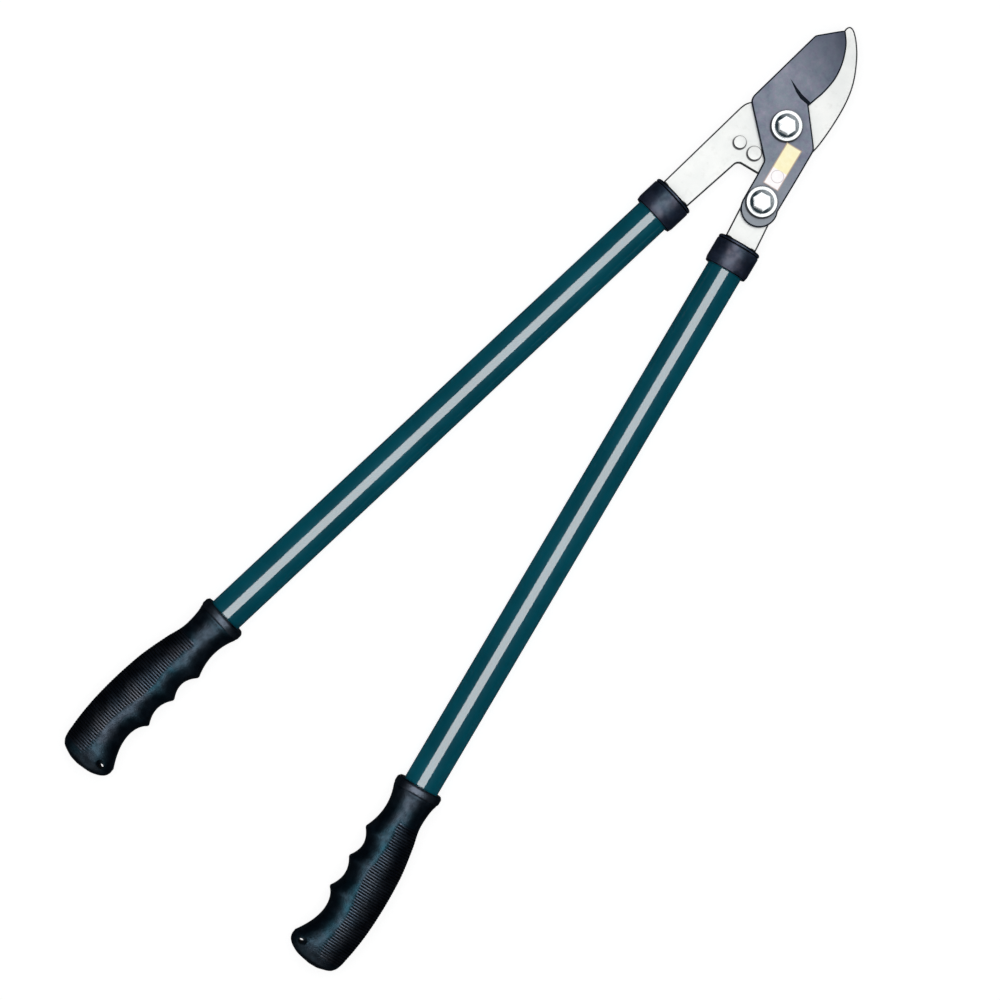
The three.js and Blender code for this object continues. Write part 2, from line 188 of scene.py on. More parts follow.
def skin(rows, around):
    """Faces between rows of points that each go once round, closed by a face at both ends."""
    faces = []
    for i in range(rows - 1):
        for j in range(around):
            k = (j + 1) % around
            faces.append((i * around + j, i * around + k, (i + 1) * around + k, (i + 1) * around + j))
    return faces + [tuple(range(around))[::-1], tuple(range((rows - 1) * around, rows * around))]


# ---- materials
class Look:
    """A Principled material with a small set of helpers for its nodes."""

    def __init__(self, name, **sockets):
        self.material = bpy.data.materials.new(name)
        self.material.use_nodes = True
        self.tree = self.material.node_tree
        self.shader = self.tree.nodes["Principled BSDF"]
        for key, value in sockets.items():
            self.shader.inputs[key.replace("_", " ")].default_value = value
        self.coords = self.tree.nodes.new("ShaderNodeTexCoord").outputs["Object"]

    def node(self, kind, output=0, props=None, **inputs):
        """One output of a new node; inputs go by name, or by place as i0, i1 and so on."""
        made = self.tree.nodes.new("ShaderNode" + kind)
        for key, value in (props or {}).items():
            setattr(made, key, value)
        for key, value in inputs.items():
            name = int(key[1:]) if key[0] == "i" and key[1:].isdigit() else key.replace("_", " ")
            self.put(made.inputs[name], value)
        return made.outputs[output]

    def put(self, socket, value):
        if isinstance(value, bpy.types.NodeSocket):
            self.tree.links.new(value, socket)
        else:
            socket.default_value = value

    def math(self, operation, a, b=0.0):
        return self.node("Math", props={"operation": operation}, i0=a, i1=b)

    def placed(self, location=(0, 0, 0), turn=0.0, scale=(1, 1, 1)):
        """Object coordinates seen from a place that is turned about Z, then scaled."""
        place = {"Location": tuple(location), "Rotation": (0, 0, turn)}
        local = self.node("Mapping", props={"vector_type": "TEXTURE"}, Vector=self.coords, **place)
        return self.node("Mapping", props={"vector_type": "POINT"}, Vector=local, Scale=scale)

    def noise(self, scale, detail, vector=None, roughness=0.55):
        vector = vector or self.coords
        return self.node("TexNoise", Vector=vector, Scale=scale, Detail=detail, Roughness=roughness)

    def radius(self, vector):
        """The vector's distance from the Z axis."""
        flat = self.node("VectorMath", 0, {"operation": "MULTIPLY"}, i0=vector, i1=(1, 1, 0))
        return self.node("VectorMath", 1, {"operation": "LENGTH"}, Vector=flat)

    def share(self, value, start, end, low=0.0, high=1.0):
        """Goes from low to high as the value goes from start to end."""
        return self.node("MapRange", Value=value, From_Min=start, From_Max=end, To_Min=low, To_Max=high)

    def ramp(self, factor, *stops):
        """A level that changes between two stops of (place, level)."""
        result = self.node("ValToRGB", i0=factor)
        for element, (place, level) in zip(result.node.color_ramp.elements, stops):
            element.position = place
            element.color = (level, level, level, 1)
        return result

    def blotch(self, cloud, start, end, a, b, most=1.0):
        """Colour a, turning into b, or as much of b as most says, where the cloud goes from start to end."""
        return self.mix(self.ramp(cloud, (start, 0.0), (end, most)), a, b)

    def mix(self, factor, a, b):
        """Colour a, with as much of b as the factor says."""
        a, b = ((*value, 1) if isinstance(value, tuple) else value for value in (a, b))
        return self.node("Mix", 2, {"data_type": "RGBA"}, i0=factor, i6=a, i7=b)

    def colour(self, value):
        self.put(self.shader.inputs["Base Color"], value)

    def roughness(self, factor, *stops):
        self.put(self.shader.inputs["Roughness"], self.ramp(factor, *stops))

    def bump(self, *layers):
        """Each layer is (height, strength, distance in metres)."""
        under = {}
        for height, strength, distance in layers:
            normal = self.node("Bump", Height=height, Strength=strength, Distance=distance, **under)
            under = {"Normal": normal}
        self.put(self.shader.inputs["Normal"], normal)


HANDLE_TURN = math.radians(8.2)  # each handle leans this much from the middle line
RECESS_TURN = math.radians(-20)  # which side of a recess is painted in shade; the other is painted light
HEAD_SHADOW_OFFSET = Vector((0, 0.00045, 0))  # the painted shadow's circle lies this much nearer to the handles, on the shaded side
HEAD_SHADOW_REACH = (0.0002, 0.0008)  # solid up to the first distance from the head, gone at the second


def painted_shadow_round_heads(look, nodes):
    """Near one in a thin line of painted shadow against the nodes' round heads, thickest toward the handles.
    """
    lines = []
    for node in nodes:
        lo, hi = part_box(node)
        radius = (hi.x - lo.x) / 2
        middle = (lo + hi) / 2 - HEAD_SHADOW_OFFSET
        reach = look.math("SUBTRACT", look.radius(look.placed(location=middle)), radius)
        lines.append(look.share(reach, *HEAD_SHADOW_REACH, 0.9, 0.0))
    return look.math("MAXIMUM", *lines)


def plate_steel(name, turn, heads=()):
    """Satin plated steel, finely ground along the plate."""
    look = Look(name, Metallic=1.0)
    grain = look.noise(1.0, 5, look.placed(turn=turn, scale=(5200, 260, 900)))
    clouds = look.noise(55, 4)
    stains = look.noise(160, 5)
    tint = look.blotch(clouds, 0.35, 0.7, (0.73, 0.745, 0.73), (0.81, 0.815, 0.795))
    tint = look.blotch(stains, 0.56, 0.75, tint, (0.5, 0.5, 0.47), 0.35)
    tint = look.blotch(grain, 0.3, 0.7, tint, (0.82, 0.82, 0.82), 0.25)
    # painted shadow round the rivet heads, darkest on the side toward the handles
    look.colour(look.mix(painted_shadow_round_heads(look, heads), tint, (0.05, 0.05, 0.055)) if heads else tint)
    look.roughness(grain, (0.3, 0.36), (0.7, 0.46))
    look.bump((grain, 0.12, 0.00003), (stains, 0.08, 0.00005))
    return look.material


def coated_steel():
    """Dark low-friction coating: slightly mottled, bluer and darker toward the tip, lighter at the tail."""
    look = Look("coated_steel", Metallic=0.35, Coat_Weight=0.15, Coat_Roughness=0.3)
    mottle = look.noise(330, 6, roughness=0.7)
    patches = look.noise(70, 6, roughness=0.7)
    speckle = look.noise(1300, 3)
    along = look.node("SeparateXYZ", 1, Vector=look.placed(location=PIVOT))
    tip = look.share(along, 0.030, 0.078)
    tail = look.share(along, -0.01, -0.06)
    body = look.blotch(patches, 0.36, 0.64, (0.15, 0.165, 0.26), (0.36, 0.34, 0.45))
    body = look.blotch(mottle, 0.38, 0.62, body, (0.24, 0.33, 0.385), 0.7)
    body = look.mix(tip, body, (0.058, 0.078, 0.132))
    body = look.mix(tail, body, (0.35, 0.39, 0.44))
    body = look.blotch(speckle, 0.5, 0.8, body, (0.2, 0.21, 0.24), 0.3)
    # painted shadow round the bolt heads, darkest on the side toward the handles
    look.colour(look.mix(painted_shadow_round_heads(look, ("pivot_bolt", "link_bolt")), body, (0.008, 0.01, 0.018)))
    look.roughness(mottle, (0.3, 0.40), (0.7, 0.56))
    look.bump((speckle, 0.3, 0.00004), (mottle, 0.22, 0.0001))
    return look.material


def shade_dark_steel(name, grain_scale, colours, rough, **sockets):
    """Dark, uneven, a little rough steel that stands for painted shade."""
    look = Look(name, **sockets)
    rim_shade_noise = look.noise(grain_scale, 4)
    look.colour(look.blotch(rim_shade_noise, 0.3, 0.7, *colours))
    look.roughness(rim_shade_noise, (0.3, rough), (0.7, rough + 0.18))
    look.bump((rim_shade_noise, 0.2, 0.00005))
    return look.material


def shaded_rim(name, base, metallic):
    """The narrow rolled rim of a plate, or the side of a bolt's or rivet's head, painted dark as shade."""
    colours = base, tuple(1.7 * c for c in base)
    return shade_dark_steel(name, 700, colours, 0.4, Metallic=metallic, Specular_IOR_Level=0.15)


def bright_steel(name, centre):
    """Turned and polished plating with faint rings round the bolt's axis."""
    look = Look(name, Metallic=1.0)
    radius = look.radius(look.placed(location=centre))
    rings = look.node("TexNoise", Vector=look.node("CombineXYZ", X=radius), Scale=6500.0, Detail=2.0)
    smudge = look.noise(240, 4)
    look.colour(look.blotch(smudge, 0.4, 0.75, (0.80, 0.82, 0.83), (0.62, 0.66, 0.68)))
    look.roughness(smudge, (0.35, 0.16), (0.75, 0.27))
    look.bump((rings, 0.06, 0.00002))
    return look.material


def shaded_corner_steel():
    """The corner where the grind stops, painted nearly black as shade."""
    colours = (0.004, 0.007, 0.014), (0.012, 0.02, 0.036)
    return shade_dark_steel("grind_corner", 500, colours, 0.42, Specular_IOR_Level=0.1)


def shaded_recess_steel(name, centre):
    """Steel in a bolt's recess: painted shade, mottled, on the side toward the handles, and painted light
    toward the jaws.
    """
    look = Look(name)
    shade_mottle = look.noise(420, 4)
    toward_jaws = look.node("SeparateXYZ", 1, Vector=look.placed(location=centre, turn=RECESS_TURN))
    # painted light toward the jaws, painted shade toward the handles
    painted_light_share = look.share(toward_jaws, -0.001, 0.0065, 0.0, 0.88)
    painted_shade_colour = look.blotch(shade_mottle, 0.3, 0.7, (0.014, 0.03, 0.042), (0.07, 0.115, 0.14))
    look.colour(look.mix(painted_light_share, painted_shade_colour, (0.72, 0.79, 0.83)))
    look.put(look.shader.inputs["Metallic"], look.math("SUBTRACT", 0.9, painted_light_share))
    look.roughness(shade_mottle, (0.3, 0.22), (0.7, 0.36))
    look.bump((look.noise(2200, 2), 0.15, 0.00003))
    return look.material


def teal_paint():
    """Thick gloss enamel: faint orange peel, dust specks and rub marks."""
    coat = {"Coat_Weight": 1.0, "Coat_Roughness": 0.035, "Coat_IOR": 1.4}
    look = Look("teal_paint", IOR=1.5, Specular_IOR_Level=0.03, **coat)
    peel = look.noise(420, 2)
    depth = look.noise(24, 3)
    specks = look.noise(2600, 1)
    base = look.blotch(depth, 0.3, 0.7, (0.0, 0.084, 0.124), (0.0, 0.118, 0.17))
    look.colour(look.blotch(specks, 0.68, 0.8, base, (0.02, 0.13, 0.16), 0.35))
    look.roughness(depth, (0.3, 0.22), (0.7, 0.32))
    look.bump((peel, 0.05, 0.00006), (depth, 0.03, 0.0002))
    return look.material


def black_plastic(name, grain_scale, base, rough, tints, grain_height=0.00005, gloss=0.4, mottle=0.0):
    """Moulded plastic with a fine grain, worn smoother in places.

    Its sheen changes tint in broad patches and is dulled in small ones."""
    look = Look(name, IOR=1.5, Specular_IOR_Level=gloss)
    tint = look.blotch(look.noise(55, 3), 0.35, 0.65, *tints)
    tint = look.blotch(look.noise(230, 4), 0.4, 0.62, tint, (0.06, 0.08, 0.1), mottle)
    look.put(look.shader.inputs["Specular Tint"], tint)
    grain = look.noise(grain_scale, 3)
    wear = look.noise(130, 5)
    worn = tuple(c * 1.9 + 0.002 for c in base)
    look.colour(look.blotch(wear, 0.42, 0.75, base, worn))
    look.roughness(wear, (0.3, rough), (0.75, rough + 0.14))
    look.bump((grain, 0.5, grain_height), (wear, 0.22, 0.0002))
    return look.material


def nylon(name, base):
    """Cloudy moulded nylon with a little light inside."""
    look = Look(name, IOR=1.53, Subsurface_Weight=0.1, Subsurface_Scale=0.001)
    clouds = look.noise(260, 4)
    look.colour(look.mix(clouds, base, tuple(0.85 * c for c in base)))
    look.roughness(clouds, (0.3, 0.45), (0.7, 0.6))
    look.bump((look.noise(1800, 2), 0.2, 0.00003))
    return look.material


LABEL_TURN = math.radians(7.5)
LABEL_LENGTH, LABEL_WIDTH = 0.0313, 0.0118
RING_CENTRE = (0.0005, -0.0073, 0)  # the label's faint ring, from the label's centre
RING_RADIUS, RING_LINE = 0.0042, 0.00044


def label_foil(centre):
    """Pale gold above, pinkish white below with a faint plain ring: no lettering."""
    look = Look("label_foil", Metallic=0.8, Coat_Weight=0.3, Coat_Roughness=0.12, IOR=1.5)
    local = look.placed(location=centre, turn=LABEL_TURN)
    along = look.node("SeparateXYZ", 1, Vector=local)
    across = look.math("ABSOLUTE", look.node("SeparateXYZ", 0, Vector=local))
    share = look.share(along, -LABEL_LENGTH / 2, LABEL_LENGTH / 2)
    shade = look.noise(160, 4)
    gold = look.blotch(shade, 0.3, 0.7, (0.80, 0.73, 0.43), (0.88, 0.84, 0.60))
    pale = look.blotch(shade, 0.3, 0.7, (0.80, 0.76, 0.77), (0.90, 0.88, 0.88))
    offset = look.node("VectorMath", 0, {"operation": "SUBTRACT"}, i0=local, i1=RING_CENTRE)
    ring = look.math("COMPARE", look.radius(offset), RING_RADIUS)
    ring.node.inputs[2].default_value = RING_LINE / 2
    split = look.ramp(share, (0.395, 0.0), (0.405, 1.0))
    pale = look.mix(look.math("MULTIPLY", ring, 0.65), pale, (0.42, 0.34, 0.36))
    side = look.ramp(look.math("DIVIDE", across, LABEL_WIDTH / 2), (0.84, 0.0), (0.91, 0.8))
    tails = look.ramp(look.math("ABSOLUTE", look.math("SUBTRACT", share, 0.5)), (0.47, 0.0), (0.49, 0.8))
    look.colour(look.mix(look.math("MAXIMUM", side, tails), look.mix(split, pale, gold), (0.36, 0.24, 0.2)))
    look.roughness(shade, (0.3, 0.32), (0.7, 0.42))
    look.bump((look.noise(900, 3), 0.1, 0.00002))
    return look.material


# ---- cutting blade
# Places on the blade in millimetres from the pivot.
HEEL = (3.05, 19.9)
TIP = (-9.2, 74.9)
GRIND_START = (-17.9, 26.4)
GRIND_END = (-13.5, 77.0)
WALL_TOP = [GRIND_START, (-12.8, 23.6), (-9.0, 21.6), (-4.2, 20.0), HEEL]
WALL_FOOT = [GRIND_START, (-13.7, 25.3), (-9.7, 24.2), (-5.0, 23.2), (3.7, 22.7)]
EDGE_LEFT = 0.45  # thickness left at the cutting edge
HOLLOW = 1.5  # how the grind deepens from its line to the cutting edge
FLOOR_BAND = 1e-5  # metres; points this near to a node's lowest one belong to its lowest face


def loops_of_floor(node):
    """A node's lowest flat face: its outline, then its holes clockwise, in millimetres from the pivot."""
    bm = bmesh.new()
    bm.from_mesh(frame["nodes"][node].data)
    bmesh.ops.remove_doubles(bm, verts=bm.verts, dist=CAD_WELD)
    level = min(v.co.z for v in bm.verts) + FLOOR_BAND
    floor = {f for f in bm.faces if all(v.co.z < level for v in f.verts)}
    rim = {e for e in bm.edges if sum(f in floor for f in e.link_faces) == 1}
    loops = []
    while rim:
        edge = min(rim, key=lambda e: e.index)
        rim.discard(edge)
        start, here = edge.verts
        loop = [start, here]
        while here is not start:
            edge = next(e for e in here.link_edges if e in rim)
            rim.discard(edge)
            here = edge.other_vert(here)
            if here is not start:
                loop.append(here)
        loops.append([((v.co - PIVOT) / MM).to_2d() for v in loop])
    bm.free()
    loops.sort(key=lambda loop: -abs(area_of(loop)))
    return [loop if (area_of(loop) > 0) == (k == 0) else loop[::-1] for k, loop in enumerate(loops)]


LONG_CHORD = 6  # millimetres; a chord this long is a straight edge, not part of a curve


def softened(loop, step=0.7, corner=24):
    """The loop with its short chords turned back into curves; straight runs and corners stay."""
    n = len(loop)
    chords = [loop[(i + 1) % n] - loop[i] for i in range(n)]

    def heading(i, own):
        before, after = chords[i - 1], chords[i]
        if before.angle(after) > math.radians(corner):
            return own.normalized()
        if before.length > 3 * after.length:
            return before.normalized()
        if after.length > 3 * before.length:
            return after.normalized()
        return (before.normalized() * after.length + after.normalized() * before.length).normalized()

    result = []
    for i, chord in enumerate(chords):
        a, b = loop[i], loop[(i + 1) % n]
        parts = max(1, round(chord.length / step))
        bent = chord.length < LONG_CHORD
        m0 = (heading(i, chord) if bent else chord.normalized()) * chord.length
        m1 = (heading((i + 1) % n, chord) if bent else chord.normalized()) * chord.length
        result += [eased(a, b, m0, m1, k / parts) for k in range(parts)]
    return result


def area_of(loop):
    """Above zero for a counter-clockwise loop."""
    return sum(a.x * b.y - b.x * a.y for a, b in zip(loop, loop[1:] + loop[:1])) / 2


def offsets(points, line):
    """From each point to each segment of a polyline: the way from its start, its run, and the distance."""
    line = np.array(line, float)
    run = np.diff(line, axis=0)
    way = points[:, None, :] - line[None, :-1]
    t = np.clip((way * run).sum(2) / np.maximum((run * run).sum(1), 1e-12), 0, 1)
    return way, run, np.linalg.norm(way - t[..., None] * run, axis=2)


def distance_to(points, line, closed=False):
    """Distance of each point, a row of a numpy array, to a polyline."""
    return offsets(points, [*line, line[0]] if closed else line)[2].min(1)


def side_of(points, line):
    """Above zero to the left of the polyline's nearest segment."""
    way, run, gap = offsets(points, line)
    k = gap.argmin(1)
    r = way[np.arange(len(points)), k]
    return run[k, 0] * r[:, 1] - run[k, 1] * r[:, 0]


SHARPEST = 0.35  # keeps a sharp corner from being moved too far


def inset(loop, amount):
    """The loop moved toward the solid, which lies on its left."""
    result = []
    for i, p in enumerate(loop):
        along = (p - loop[i - 1]).normalized() + (loop[(i + 1) % len(loop)] - p).normalized()
        n = Vector((-along.y, along.x))
        result.append(p + n / max(n.length_squared / 2, SHARPEST) * amount)
    return result


def grind_drop(points, edge):
    """How far the ground face lies under the blade's flat face."""
    zero = [GRIND_START, GRIND_END]
    d0 = distance_to(points, zero)
    d1 = distance_to(points, edge)
    share = d0 / np.maximum(d0 + d1, 1e-9)
    drop = (BLADE - EDGE_LEFT) * share**HOLLOW
    beyond = side_of(points, zero) > 0
    top, foot = distance_to(points, WALL_TOP), distance_to(points, WALL_FOOT)
    ramp = np.clip(top / np.maximum(top + foot, 1e-9), 0, 1)
    over_top = side_of(points, WALL_TOP) < 0
    over_foot = side_of(points, WALL_FOOT) < 0
    drop = np.where(over_foot & ~over_top, drop * ramp, drop)
    return np.where(beyond | over_top, 0.0, drop)


lo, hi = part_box("cutting_blade")
BLADE = (hi.z - lo.z) / MM  # the blade's thickness

# How far in from an edge, and how far down from the face, in millimetres.
ROLLED_EDGE = [(0.04, 0.75), (0.1, 0.5), (0.22, 0.28), (0.42, 0.1), (0.7, 0.0), (1.05, 0.0)]
LOWER_EDGE = [(0.04, 0.25), (0.1, 0.1), (0.22, 0.0)]
# the upper side's rolled rim, painted dark as shade, is this wide
RIM_WIDTH = 0.95
LINE_STEP = 0.5  # between the points of a sharp line
LINE_CLEARANCE = 1.15  # what a sharp line in a plate keeps from its outline
GROUND_DEPTH, GROUND_ROLL = 0.2, 0.5  # where the face is lowered more than this, it's rolled only this much
KEEN_REACH = 1.5  # within this distance of the cutting edge the rolls of both sides fade out
KEEN_UNDER = 0.5  # within this one the lower side has none
LEAST_THICKNESS = 0.05
GRID_CLEARANCE, GRID_LINE_CLEARANCE = 1.1, 0.4
ROW_PITCH = 0.87  # of the step between points, so that the triangles are even
ON_LINE = 0.01
UPPER_FROM = 0.0004  # metres over a plate's lowest face


def slab_look(node, body, slot, materials, drop=None, edge=None, lines=(), grid_step=None, tag=None):
    """A flat plate cut along its CAD outline, with rolled edges.

    drop lowers its upper face from point to point, edge is its cutting edge, lines stay sharp, and tag picks
    the material of each face. The last material is the rim's, painted dark as shade."""
    lo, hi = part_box(node)
    loops = [softened(loop) for loop in loops_of_floor(node)]
    rims = [[tuple(p) for p in loop] for loop in loops]
    flat, top, centres = seen_from_above(loops, rims, lines, grid_step)
    upper, under = heights(flat, rims, (hi.z - lo.z) / MM, drop, edge)
    count = len(flat)
    faces = top + [tuple(i + count for i in reversed(f)) for f in top]
    borders = {(a, b) for f in top for a, b in zip(f, f[1:] + f[:1])}
    walls = [(b, a, a + count, b + count) for a, b in sorted(borders) if (b, a) not in borders]
    top_tags = tag(centres).astype(int) if tag else np.zeros(len(top), int)
    # the rim's faces take the last material, painted dark as shade
    rim_gap = np.min([distance_to(centres, rim, True) for rim in rims], axis=0)
    top_tags = np.where(rim_gap < RIM_WIDTH, len(materials) - 1, top_tags)
    tags = list(top_tags) + [0] * (len(top) + len(walls))
    points = [(x, y, z) for (x, y), z in zip(flat, upper)] + [(x, y, z) for (x, y), z in zip(flat, under)]
    placed = [(PIVOT.x + x * MM, PIVOT.y + y * MM, lo.z + z * MM) for x, y, z in points]
    piece = make(node, placed, faces + walls, body, slot, materials, 48, tags)
    crease(piece.data, lines, lo.z)
    return flat_faces_first(piece)


def seen_from_above(loops, rims, lines, grid_step):
    """A plate's points, the faces between them and the faces' centres, with its rolled edges and lines."""
    vertices, constraints = [], []
    for loop in loops:
        for amount, _ in ROLLED_EDGE:
            first, count = len(vertices), len(loop)
            vertices += inset(loop, amount)
            constraints += [(first + i, first + (i + 1) % count) for i in range(count)]
    for line in lines:
        add_line(line, rims[0], vertices, constraints)
    if grid_step:
        vertices += grid_inside(loops, rims, lines, grid_step)
    out_v, _, out_f, _, _, _ = delaunay_2d_cdt(vertices, constraints, [], 0, 1e-5)
    flat = np.array([tuple(v) for v in out_v])
    centres = np.array([flat[list(f)].mean(0) for f in out_f])
    wanted = inside(centres, loops[0])
    for hole in loops[1:]:
        wanted &= ~inside(centres, hole)
    return flat, [tuple(f) for f, ok in zip(out_f, wanted) if ok], centres[wanted]


def add_line(line, rim, vertices, constraints):
    """Adds a polyline to the points and to the edges to keep, wherever it is clear of the rim."""
    points = []
    for a, b in zip(line, line[1:]):
        a, b = Vector(a), Vector(b)
        parts = max(1, round((b - a).length / LINE_STEP))
        points += [a.lerp(b, k / parts) for k in range(parts)]
    points.append(Vector(line[-1]))
    clear = distance_to(np.array([tuple(p) for p in points]), rim, True) > LINE_CLEARANCE
    previous = None
    for p, ok in zip(points, clear):
        if not ok:
            previous = None
            continue
        vertices.append(p)
        if previous is not None:
            constraints.append((previous, len(vertices) - 1))
        previous = len(vertices) - 1


def heights(flat, rims, thick, drop, edge):
    """Heights of the plate's upper and lower sides at each point, in millimetres over its lowest face."""
    gap = np.min([distance_to(flat, rim, True) for rim in rims], axis=0)
    lowered = drop(flat) if drop else np.zeros(len(flat))
    roll = np.interp(gap, *zip(*ROLLED_EDGE))
    under = np.interp(gap, *zip(*LOWER_EDGE))
    if edge is not None:
        away = distance_to(flat, edge)
        keen = np.clip(away / KEEN_REACH, 0, 1)
        roll = np.where(lowered > GROUND_DEPTH, roll * keen * GROUND_ROLL, roll)
        under = under * np.clip((away - KEEN_UNDER) / (KEEN_REACH - KEEN_UNDER), 0, 1)
    return np.maximum(thick - lowered - roll, under + LEAST_THICKNESS), under


def crease(mesh, lines, floor_z):
    """Drops loose points and keeps the lines sharp on the upper side."""
    bm = bmesh.new()
    bm.from_mesh(mesh)
    bmesh.ops.delete(bm, geom=[v for v in bm.verts if not v.link_faces], context="VERTS")
    at = np.array([[(v.co.x - PIVOT.x) / MM, (v.co.y - PIVOT.y) / MM] for v in bm.verts])
    upper = np.array([v.co.z for v in bm.verts]) > floor_z + UPPER_FROM
    for line in lines:
        sharp = (distance_to(at, line) < ON_LINE) & upper
        for e in bm.edges:
            if all(sharp[v.index] for v in e.verts):
                e.smooth = False
    bm.to_mesh(mesh)
    bm.free()


def grid_inside(loops, rims, lines, step):
    """A grid of even triangles inside the plate, clear of its outlines and lines."""
    xs, ys = [p.x for p in loops[0]], [p.y for p in loops[0]]
    grid = []
    for row, y in enumerate(np.arange(min(ys), max(ys), step * ROW_PITCH)):
        shift = step / 2 if row % 2 else 0
        grid += [(x, y) for x in np.arange(min(xs) + shift, max(xs), step)]
    grid = np.array(grid)
    keep = inside(grid, loops[0])
    for rim in rims:
        keep &= distance_to(grid, rim, True) > GRID_CLEARANCE
    for hole in loops[1:]:
        keep &= ~inside(grid, hole)
    for line in lines:
        keep &= distance_to(grid, line) > GRID_LINE_CLEARANCE
    return [Vector(p) for p in grid[keep]]


def inside(points, loop):
    """Which of the points lie inside the loop."""
    loop = np.array([tuple(p) for p in loop], float)
    nxt = np.roll(loop, -1, axis=0)
    x, y = points[:, 0:1], points[:, 1:2]
    crosses = (loop[:, 1] > y) != (nxt[:, 1] > y)
    span = nxt[:, 1] - loop[:, 1]
    at = loop[:, 0] + (y - loop[:, 1]) * (nxt[:, 0] - loop[:, 0]) / np.where(span == 0, 1, span)
    return ((crosses & (x < at)).sum(1) % 2) == 1


def blade_look():
    """The blade, with its ground face, its cutting edge and the wall where the grind stops."""
    outline = softened(loops_of_floor("cutting_blade")[0])
    n = len(outline)
    heel, tip = (min(range(n), key=lambda i: (outline[i] - Vector(end)).length) for end in (HEEL, TIP))
    edge = [tuple(outline[(heel + k) % n]) for k in range((tip - heel) % n + 1)]

    def in_wall(points):
        return (side_of(points, WALL_FOOT) < 0) & (side_of(points, WALL_TOP) > 0)

    # the wall where the grind stops and the blade's rim are painted near-black as shade
    materials = [coated_steel(), shaded_corner_steel(), shaded_rim("coated_edge", (0.006, 0.009, 0.016), 0.3)]
    slab_look(
        "cutting_blade", "blade", "coated_steel", materials,
        drop=lambda points: grind_drop(points, edge), edge=edge, lines=(WALL_TOP, WALL_FOOT),
        grid_step=1.0, tag=in_wall,
    )


blade_look()

# ---- plates, label, rivets, bolts
RIVETS = ("closed_stop_rivet", "open_stop_rivet")
# near-black rim of the plates and the rivets' sides: painted shade
plate_edge = shaded_rim("plate_edge", (0.045, 0.047, 0.05), 1.0)
hook_steel = plate_steel("hook_steel", -HANDLE_TURN, RIVETS)
slab_look("hook_plate", "hook_side", "plate_steel", [hook_steel, plate_edge])
slab_look("lever_plate", "lever_side", "plate_steel", [plate_steel("lever_steel", HANDLE_TURN), plate_edge])

lo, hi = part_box("blade_label")
beveled("blade_label", "blade", label_foil((lo + hi) / 2), 0.00006)


def cut_out(piece, name, vertices, faces):
    """Cuts a closed shape out of the piece."""
    mesh = bpy.data.meshes.new(name)
    mesh.from_pydata([tuple(v) for v in vertices], [], faces)
    outward(mesh)
    cutter = added(name, mesh)
    cut = piece.modifiers.new(name, "BOOLEAN")
    cut.operation, cut.solver, cut.object = "DIFFERENCE", "EXACT", cutter
    graph = bpy.context.evaluated_depsgraph_get()
    mesh = bpy.data.meshes.new_from_object(piece.evaluated_get(graph))
    piece.modifiers.clear()
    piece.data = mesh
    bpy.data.objects.remove(cutter)


def reshade(piece, smooth_angle):
    """Smooth shading again after a cut."""
    piece.data.shade_smooth()
    piece.data.set_sharp_from_angle(angle=math.radians(smooth_angle))


BOLT_AROUND = 96
BOLT_ANGLES = np.arange(BOLT_AROUND) * 2 * math.pi / BOLT_AROUND
HEXAGON_TURN = math.radians(11.25)
FLANGE_FROM = 0.0095  # only the head reaches farther than this from a bolt's axis


def ring_of(radius, hexagon):
    """Radii round a circle, or round a hexagon of that apothem, or between the two."""
    flat = radius / np.cos((BOLT_ANGLES - HEXAGON_TURN) % (math.pi / 3) - math.pi / 6)
    return radius * (1 - hexagon) + flat * hexagon


def bolt(node, body):
    """A bolt's round flanged head with its hexagon recess, and its shank."""
    lo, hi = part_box(node)
    centre = (lo + hi) / 2
    shape = points_of(node)
    radius = np.hypot(*(shape[:, :2] - centre.to_2d()).T)
    outer = radius.max() / MM
    head = (shape[radius > FLANGE_FROM][:, 2].min() - lo.z) / MM
    top = (hi.z - lo.z) / MM
    # Each ring is (radius, height, share of hexagon in its shape, material), in millimetres.
    steel, recess, side = range(3)
    rings = [
        (3.3, 0.02, 0, steel), (3.9, 0.6, 0, steel), (3.9, head + 0.02, 0, steel),
        (outer - 0.4, head + 0.02, 0, side), (outer - 0.1, head + 0.12, 0, side),
        (outer - 0.02, head + 0.4, 0, side), (outer - 0.02, top - 0.55, 0, side),
        (outer - 0.06, top - 0.36, 0, side), (outer - 0.15, top - 0.18, 0, side),
        (outer - 0.28, top - 0.07, 0, steel), (outer - 0.5, top - 0.02, 0, steel),
        (8.2, top - 0.02, 0, steel), (8.0, top - 0.1, 0, recess), (7.75, top - 0.4, 0, recess),
        (6.6, top - 1.5, 0.5, recess), (6.15, top - 1.9, 1, recess), (5.95, top - 2.4, 1, recess),
        (5.6, top - 2.58, 1, steel), (3.0, top - 2.6, 0.5, steel),
    ]
    vertices = []
    for r, z, hexagon, _ in rings:
        for a, reach in zip(BOLT_ANGLES, ring_of(r, hexagon)):
            x, y = centre.x + reach * math.cos(a) * MM, centre.y + reach * math.sin(a) * MM
            vertices.append((x, y, lo.z + z * MM))
    tags = [ring[3] for ring in rings[:-1] for _ in BOLT_ANGLES]
    # the head's side is painted near-black as shade; its recess is painted shade and light
    materials = [bright_steel(node + "_steel", centre), shaded_recess_steel(node + "_recess", centre),
                 shaded_rim(node + "_side", (0.04, 0.044, 0.05), 0.0)]
    faces = skin(len(rings), BOLT_AROUND)
    make(node, vertices, faces, body, "bright_steel", materials, 32, tags + [steel, steel])


